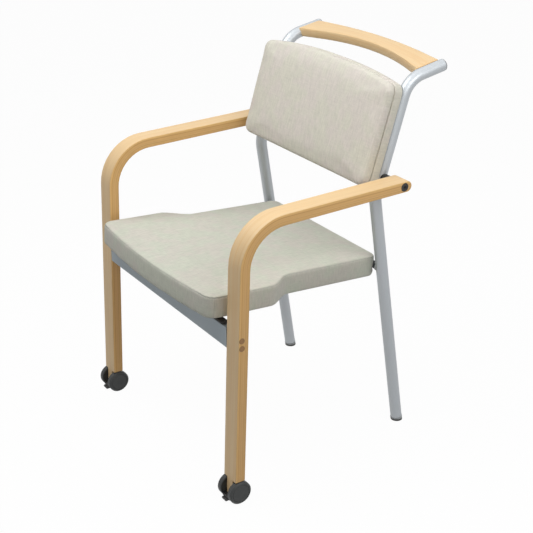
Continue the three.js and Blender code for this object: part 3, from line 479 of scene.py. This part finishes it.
def fabric(name, green, pink, seam=None, corner=None):
    """Melange weave with slubs both ways, and a shallow groove with painted shade along a fine seam round
    the edge and along an upright one at each corner
    """
    g = Graph(name, 0.92, Sheen_Weight=0.18, Sheen_Roughness=0.5, Specular_IOR_Level=0.15)
    x, y, z = g.parts(g.place)
    nx, ny, nz = (g.math("ABSOLUTE", value) for value in g.parts(g.facing))
    flat = g.step(nz, 0.6, 0.8)
    side = g.step(g.minus(nx, ny), -0.05, 0.05)
    across = g.blend(flat, g.blend(side, x, y), x)
    along = g.blend(flat, z, y)
    layer = g.times(flat, 0.31)
    warp = g.streaks((across, 420), (along, 60), layer, 3, 0.6)
    weft = g.streaks((across, 48), (along, 400), layer, 3, 0.6)
    slub = g.streaks((across, 230), (along, 50), layer, 4, 0.7)
    cross = g.streaks((across, 40), (along, 260), layer, 4, 0.7)
    cloud = g.noise(g.place, 22, 2)
    weave = g.times(g.wave(across, THREAD), g.wave(along, THREAD))
    tone = g.plus(g.step(warp, 0.25, 0.75, 0.94, 1.05), g.step(weft, 0.25, 0.75, -0.03, 0.03))
    tone = g.plus(tone, g.step(slub, 0.3, 0.72, -0.04, 0.04))
    tone = g.plus(tone, g.step(cross, 0.5, 0.75, 0.0, -0.045))
    tone = g.plus(tone, g.times(weave, 0.02))
    patch = g.plus(g.times(cloud, 0.75), g.times(slub, 0.25))
    colour = g.shade(g.mix(g.step(patch, 0.4, 0.6), srgb(*green), srgb(*pink)), tone)
    height = g.plus(g.times(weave, 0.22), g.plus(g.times(warp, 0.5), g.times(weft, 0.4)))
    if seam is not None:
        seam_height = g.plus(z, g.times(g.wave(g.plus(x, y), STITCH), 0.0003))
        wide = g.math("ABSOLUTE", x)
        at_corner = g.times(g.step(wide, 0.17, 0.21), g.step(y, 0.06, 0.0))
        seam_shade_and_groove = g.times(g.line(seam_height, seam * MM, SEAM_WIDTH), g.blend(at_corner, 0.4, 1.0))
        upright = g.times(g.line(y, corner[1] * MM, SEAM_WIDTH),
                          g.step(wide, (corner[0] - 12) * MM, corner[0] * MM))
        upright = g.times(upright, g.step(z, seam * MM, (seam - 1) * MM))
        seam_shade_and_groove = g.times(g.math("MAXIMUM", seam_shade_and_groove, g.times(upright, 0.35)), g.step(nz, 0.85, 0.65))
        # painted shade: the colour darkens along the seams, most near the front corners, next to the
        # groove that the bump presses in
        colour = g.shade(colour, g.step(seam_shade_and_groove, 0.0, 1.0, 1.0, 0.55))
        height = g.minus(height, g.times(seam_shade_and_groove, 2.5))
    g.bump(height, 0.0004, 0.7)
    return g.finish(colour)


def bend_lines():
    """Middle of the arm's bend and the angles where it starts and ends, in the shared frame"""
    leg_up = Vector((math.sin(LEG_LEAN), math.cos(LEG_LEAN)))
    arm_back = Vector((math.cos(ARM_RISE), math.sin(ARM_RISE)))
    cross = leg_up.x * arm_back.y - leg_up.y * arm_back.x
    gap = ARM_END - LEG_FOOT
    reach = (gap.x * arm_back.y - gap.y * arm_back.x) / cross
    spread = math.pi / 2 - LEG_LEAN + ARM_RISE
    start = LEG_FOOT + leg_up * (reach - ARM_BEND * math.tan(spread / 2))
    centre = start + Vector((leg_up.y, -leg_up.x)) * ARM_BEND
    return (centre - Vector((MIDDLE_Y, 0))) * MM, math.pi - LEG_LEAN, math.pi / 2 + ARM_RISE


# Layers of the bent wood from its outer face to its inner one: place as a share, and colour
PLIES = ((0.0, 238, 196, 130), (0.2, 233, 187, 121), (0.25, 208, 156, 93), (0.3, 233, 187, 121),
         (0.52, 227, 181, 119), (0.6, 235, 191, 129), (0.66, 211, 163, 100), (0.71, 231, 185, 121),
         (0.92, 223, 177, 113), (0.97, 205, 157, 94), (1.0, 213, 165, 104))


def wood_finish(name, grain, plies):
    """Pale lacquered veneer: straight grain, pores and, on the edges, the glued layers"""
    g = Graph(name, 0.42, Coat_Weight=0.05, Coat_Roughness=0.3, Specular_IOR_Level=0.4)
    along, across, depth = grain(g)
    wander = g.times(g.streaks((along, 7), (across, 20), 0.0, 2), 0.004)
    strand = g.plus(across, wander)
    fine = g.streaks((along, 9), (strand, 900), (depth, 700), 4, 0.6)
    broad = g.streaks((along, 3), (strand, 150), (depth, 200), 3, 0.55)
    pores = g.streaks((along, 60), (strand, 2200), (depth, 1500), 2)
    at_edge = g.step(g.math("ABSOLUTE", g.parts(g.facing)[0]), 0.55, 0.85)
    tone = g.plus(g.step(fine, 0.25, 0.75, 0.94, 1.04), g.step(broad, 0.3, 0.7, -0.035, 0.035))
    tone = g.plus(tone, g.step(pores, 0.62, 0.75, 0.0, -0.05))
    veneer = g.mix(g.step(broad, 0.3, 0.7), srgb(230, 194, 143), srgb(226, 197, 152))
    edge_colour = srgb(226, 182, 124)
    if plies:
        waver = g.minus(g.streaks((along, 5), 0.0, 0.0, 3), 0.5)
        layer = g.plus(depth, g.times(waver, 0.0012))
        ramp = g.node("ShaderNodeValToRGB", (g.times(layer, 1 / (WOOD_THICK * MM)),))
        stops = ramp.color_ramp.elements
        for index, (place, red, green, blue) in enumerate(PLIES):
            stop = stops[index] if index < 2 else stops.new(place)
            stop.position = place
            stop.color = srgb(red, green, blue)
        edge_colour = ramp.outputs[0]
    g.bump(g.plus(fine, g.times(pores, 0.5)), 0.00012, 0.5)
    colour = g.shade(g.mix(at_edge, veneer, edge_colour), tone)
    return g.finish(colour, g.step(fine, 0.2, 0.8, 0.4, 0.52))


def bent_grain(g):
    """Grain that runs up the leg, round the bend and along the arm"""
    centre, leg_angle, arm_angle = bend_lines()
    middle, half = (leg_angle + arm_angle) / 2, (leg_angle - arm_angle) / 2
    x, y, z = g.parts(g.place)
    from_y, from_z = g.minus(y, centre.x), g.minus(z, centre.y)
    out = g.plus(g.times(from_y, math.cos(middle)), g.times(from_z, math.sin(middle)))
    past = g.minus(g.times(from_z, math.cos(middle)), g.times(from_y, math.sin(middle)))
    turn = g.math("ARCTAN2", past, out)
    turn = g.math("MINIMUM", g.math("MAXIMUM", turn, -half), half)
    sine, cosine = g.math("SINE", turn), g.math("COSINE", turn)
    radius = g.plus(g.times(out, cosine), g.times(past, sine))
    depth = g.minus((ARM_BEND + WOOD_THICK / 2) * MM, radius)
    straight = g.minus(g.times(past, cosine), g.times(out, sine))
    return g.plus(g.times(turn, ARM_BEND * MM), straight), x, depth


def rail_grain(g):
    """Grain along the bowed grab rail"""
    bow, half_width = 0.027, 0.2045
    x, y, z = g.parts(g.place)
    bowed = g.times(g.times(x, x), bow / half_width ** 2)
    return x, g.plus(y, bowed), z


def plug_wood():
    """End grain of the dowel caps"""
    g = Graph("plug_wood", 0.5)
    x, y, z = g.parts(g.place)
    rings = g.streaks((x, 700), (y, 300), (z, 900), 3, 0.6)
    g.bump(rings, 0.0001, 0.5)
    return g.finish(g.shade(srgb(168, 126, 82), g.step(rings, 0.3, 0.7, 0.85, 1.12)))


def plywood():
    """Layers of a seat or back board, seen at its edge and underneath"""
    two_layers = 0.003
    g = Graph("plywood_board", 0.75)
    x, y, z = g.parts(g.place)
    layers = g.wave(z, two_layers)
    grain = g.streaks((x, 12), (y, 260), (z, 260), 4, 0.6)
    tone = g.plus(g.step(grain, 0.3, 0.7, 0.86, 1.08), g.times(layers, 0.05))
    g.bump(grain, 0.0002, 0.5)
    return g.finish(g.shade(srgb(190, 152, 104), tone))


def paint(name, colour, metal, roughness):
    """Powder coat with fine metal flake and a slight orange peel"""
    flake = 0.03
    g = Graph(name, roughness, Metallic=metal)
    grit = g.noise(g.place, 2600, 1)
    peel = g.noise(g.place, 420, 2)
    cloud = g.noise(g.place, 14, 2)
    tone = g.plus(g.step(grit, 0.3, 0.7, 1 - flake, 1 + flake), g.step(cloud, 0.3, 0.7, -0.015, 0.015))
    g.bump(g.plus(peel, g.times(grit, 0.25)), 0.00006, 0.35)
    return g.finish(g.shade(srgb(*colour), tone),
                    g.step(cloud, 0.3, 0.7, roughness - 0.04, roughness + 0.05))


def worn(g, roughness):
    """Noise of wear, and the roughness that grows with it"""
    wear = g.noise(g.place, 60, 4, 0.65)
    return wear, g.step(wear, 0.4, 0.7, roughness, roughness + 0.12)


def moulded(name, colour, roughness, grain=900, depth=0.00015, scuff=0.25):
    """Moulded plastic or rubber with a fine leathery grain and paler scuffs"""
    g = Graph(name, roughness)
    pebble = g.noise(g.place, grain, 3, 0.6)
    wear, worn_roughness = worn(g, roughness)
    base = srgb(*colour)
    pale = tuple(min(1, level * 1.9 + 0.01) for level in base[:3]) + (1,)
    mixed = g.mix(g.step(wear, 0.58, 0.8, 0.0, scuff), base, pale)
    g.bump(pebble, depth, 0.5)
    return g.finish(g.shade(mixed, g.step(pebble, 0.3, 0.7, 0.9, 1.1)), worn_roughness)


def two_tone(name, colour, far_colour, direction, start, roughness):
    """Moulded piece that changes colour past a start, which is measured along a direction in Y and Z"""
    blur = 0.0003
    g = Graph(name, roughness)
    _, y, z = g.parts(g.place)
    reach = g.plus(g.times(y, direction[0]), g.times(z, direction[1]))
    pebble = g.noise(g.place, 800, 3, 0.6)
    mixed = g.mix(g.step(reach, start - blur, start + blur), srgb(*colour), srgb(*far_colour))
    g.bump(pebble, 0.0001, 0.5)
    return g.finish(g.shade(mixed, g.step(pebble, 0.3, 0.7, 0.94, 1.06)), worn(g, roughness)[1])


def fastener(name, colour, roughness):
    """Plated steel with fine turning marks"""
    g = Graph(name, roughness, Metallic=0.9)
    marks = g.noise(g.place, 1500, 3, 0.6)
    g.bump(marks, 0.00005, 0.4)
    return g.finish(g.shade(srgb(*colour), g.step(marks, 0.3, 0.7, 0.9, 1.08)),
                    g.step(marks, 0.3, 0.7, roughness - 0.06, roughness + 0.08))


def shaded_by_angle(sharp_angle):
    """Smooth shading that keeps edges sharper than the given angle"""
    group = bpy.data.node_groups.new("shade_by_angle", "GeometryNodeTree")
    group.interface.new_socket("Geometry", in_out="INPUT", socket_type="NodeSocketGeometry")
    group.interface.new_socket("Geometry", in_out="OUTPUT", socket_type="NodeSocketGeometry")
    start, end = group.nodes.new("NodeGroupInput"), group.nodes.new("NodeGroupOutput")
    angle = group.nodes.new("GeometryNodeInputMeshEdgeAngle")
    sharp = group.nodes.new("FunctionNodeCompare")
    sharp.data_type, sharp.operation = "FLOAT", "GREATER_THAN"
    sharp.inputs[1].default_value = sharp_angle
    normal = group.nodes.new("GeometryNodeSetMeshNormal")
    normal.mode = "SHARPNESS"
    normal.inputs["Remove Custom"].default_value = True
    group.links.new(angle.outputs[0], sharp.inputs[0])
    group.links.new(start.outputs[0], normal.inputs["Mesh"])
    group.links.new(sharp.outputs[0], normal.inputs["Edge Sharpness"])
    group.links.new(normal.outputs[0], end.inputs[0])
    return group


def set_material(piece, material):
    piece.data.materials.clear()
    piece.data.materials.append(material)


FABRIC_SEAT = fabric("fabric_seat", (205, 208, 193), (208, 205, 194), seat_seam, CORNER_SEAM)
FABRIC_BACK = fabric("fabric_back", (217, 214, 200), (219, 212, 203))
set_material(cushion, FABRIC_SEAT)
set_material(back_pad, FABRIC_BACK)
set_material(back_panel, FABRIC_BACK)

SILVER = paint("silver_paint", (186, 191, 195), 0.5, 0.42)
SLATE = paint("rail_paint", (141, 151, 157), 0.4, 0.45)
BLACK = moulded("black_plastic", (44, 43, 42), 0.45)
RUBBER = moulded("black_rubber", (52, 51, 50), 0.75, 700, 0.0002, 0.35)
TYRE = moulded("wheel_plastic", (54, 56, 56), 0.5, 800, 0.00015, 0.3)
CAP_DISC = 0.0022                  # thickness of the dark end of the cap
FOOT_SOLE = 0.0046                 # height of the dark sole of the foot
tube_end = Vector((math.cos(GRIP_RISE), math.sin(GRIP_RISE)))
cap_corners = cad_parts["left_tube_cap"].data.vertices
cap_end = max(tube_end.dot(corner.co.yz) for corner in cap_corners)
CAP = two_tone("cap_plastic", (232, 233, 235), (92, 92, 94), tube_end, cap_end - CAP_DISC, 0.35)
FOOT = two_tone("foot_plastic", (62, 62, 59), (172, 176, 178), (0, 1), FOOT_SOLE, 0.5)
BLACK_STEEL = paint("black_steel", (44, 44, 45), 0.2, 0.45)
GREY_STEEL = paint("grey_steel", (112, 117, 120), 0.4, 0.42)
STEEL = fastener("plated_steel", (176, 178, 180), 0.32)
BENT_WOOD = wood_finish("bent_wood", bent_grain, True)
RAIL_WOOD = wood_finish("rail_wood", rail_grain, False)
PLUG_WOOD, PLYWOOD = plug_wood(), plywood()

LOOKS = {
    "arm_leg": BENT_WOOD, "grab_rail": RAIL_WOOD, "seat_board": PLYWOOD, "back_board": PLYWOOD,
    "wood_plug_lower": PLUG_WOOD, "wood_plug_upper": PLUG_WOOD, "rear_tube": SILVER,
    "front_rail": SLATE, "tube_cap": CAP, "foot_glide": FOOT, "seat_buffer": RUBBER,
    "arm_bush": BLACK, "arm_spacer": BLACK, "arm_bolt": BLACK_STEEL, "hinge_bush": SILVER,
    "outer_wheel": TYRE, "inner_wheel": TYRE, "wheel_shoe": BLACK, "seat_bracket": GREY_STEEL,
    "back_bracket": BLACK_STEEL,
}
SHADING = shaded_by_angle(math.radians(38))
# A node without a look of its own is a pin, bolt, stud, screw or axle of plated steel
for name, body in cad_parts.items():
    bare = name.split("_", 1)[1] if name.startswith(("left_", "right_")) else name
    set_material(body, LOOKS.get(bare, STEEL))
    body.modifiers.new("weld", "WELD").merge_threshold = 0.00001
    body.modifiers.new("shade", "NODES").node_group = SHADING
    body.modifiers.new("even", "WEIGHTED_NORMAL").keep_sharp = True

# Floor, backdrop and light
FLOOR_REACH = 6.0
FLOOR_GREY = (0.66, 0.66, 0.66, 1)  # the paper as it lights the object
FLOOR_WHITE = 0.97                 # share of plain white in the floor as the camera sees it
ROOM_LIGHT = 0.2                   # strength of the white room, which is 1 where it is seen
floor_mesh = bpy.data.meshes.new("floor")
floor_corners = [(x * FLOOR_REACH, y * FLOOR_REACH, 0) for x, y in ((-1, -1), (1, -1), (1, 1), (-1, 1))]
floor_mesh.from_pydata(floor_corners, [], [(0, 1, 2, 3)])
floor = bpy.data.objects.new("floor", floor_mesh)
bpy.context.scene.collection.objects.link(floor)


def seen(nodes, links):
    """One where the camera, a mirror or glass looks straight at the backdrop"""
    path = nodes.new("ShaderNodeLightPath")
    total = path.outputs["Is Camera Ray"]
    for name in ("Is Glossy Ray", "Is Transmission Ray"):
        either = nodes.new("ShaderNodeMath")
        either.operation = "MAXIMUM"
        links.new(total, either.inputs[0])
        links.new(path.outputs[name], either.inputs[1])
        total = either.outputs[0]
    return total


def floor_material():
    """Paper that takes the object's shadow, almost covered by plain white where it is seen"""
    material = bpy.data.materials.new("pale_floor")
    material.use_nodes = True
    nodes, links = material.node_tree.nodes, material.node_tree.links
    nodes.clear()
    paper = nodes.new("ShaderNodeBsdfDiffuse")
    shade = nodes.new("ShaderNodeMix")
    shade.data_type = "RGBA"
    shade.inputs[6].default_value = FLOOR_GREY
    shade.inputs[7].default_value = (1, 1, 1, 1)
    links.new(seen(nodes, links), shade.inputs[0])
    links.new(shade.outputs[2], paper.inputs["Color"])
    white = nodes.new("ShaderNodeEmission")
    white.inputs["Strength"].default_value = 1.0
    share = nodes.new("ShaderNodeMath")
    share.operation = "MULTIPLY"
    share.inputs[1].default_value = FLOOR_WHITE
    links.new(seen(nodes, links), share.inputs[0])
    mixed = nodes.new("ShaderNodeMixShader")
    out = nodes.new("ShaderNodeOutputMaterial")
    links.new(share.outputs[0], mixed.inputs[0])
    links.new(paper.outputs[0], mixed.inputs[1])
    links.new(white.outputs[0], mixed.inputs[2])
    links.new(mixed.outputs[0], out.inputs[0])
    return material


floor.data.materials.append(floor_material())

world = bpy.data.worlds.new("studio")
bpy.context.scene.world = world
world.use_nodes = True
tree = world.node_tree
background = tree.nodes["Background"]
background.inputs["Color"].default_value = (1, 1, 1, 1)
strength = tree.nodes.new("ShaderNodeMapRange")
strength.inputs["To Min"].default_value = ROOM_LIGHT
strength.inputs["To Max"].default_value = 1.0
tree.links.new(seen(tree.nodes, tree.links), strength.inputs["Value"])
tree.links.new(strength.outputs[0], background.inputs["Strength"])


def softbox(name, place, target, size, power):
    light = bpy.data.lights.new(name, "AREA")
    light.shape = "RECTANGLE"
    light.size, light.size_y = size
    light.energy = power
    lamp = bpy.data.objects.new(name, light)
    bpy.context.scene.collection.objects.link(lamp)
    lamp.location = place
    lamp.rotation_euler = (Vector(target) - Vector(place)).to_track_quat("-Z", "Y").to_euler()


softbox("above", place=(0, 0, 2.1), target=(0, 0, 0.5), size=(2.0, 2.0), power=10.2)
softbox("front_top", place=(-0.25, -0.62, 1.7), target=(-0.05, 0.13, 0.68), size=(1.3, 0.8), power=11)
softbox("side", place=(1.08, 0.14, 1.3), target=(0.0, 0.1, 0.65), size=(1.2, 0.6), power=6.9)

# Camera of the photograph
CAMERA_PLACE = (1.96439, -1.30213, 1.43429)
AZIMUTH, ELEVATION = math.radians(56.476), math.radians(24.731)
toward = Vector((math.sin(AZIMUTH) * math.cos(ELEVATION), -math.cos(AZIMUTH) * math.cos(ELEVATION),
                 math.sin(ELEVATION)))
right = Vector((math.cos(AZIMUTH), math.sin(AZIMUTH), 0))
upward = toward.cross(right)
view = bpy.data.cameras.new("photo_view")
view.lens = 80.586
view.sensor_width = 36.0
view.clip_end = 100
camera = bpy.data.objects.new("photo_view", view)
bpy.context.scene.collection.objects.link(camera)
camera.matrix_world = (Matrix.Translation(CAMERA_PLACE)
                       @ Matrix((right, upward, toward)).transposed().to_4x4())
bpy.context.scene.camera = camera
bpy.context.scene.view_settings.view_transform = "Standard"
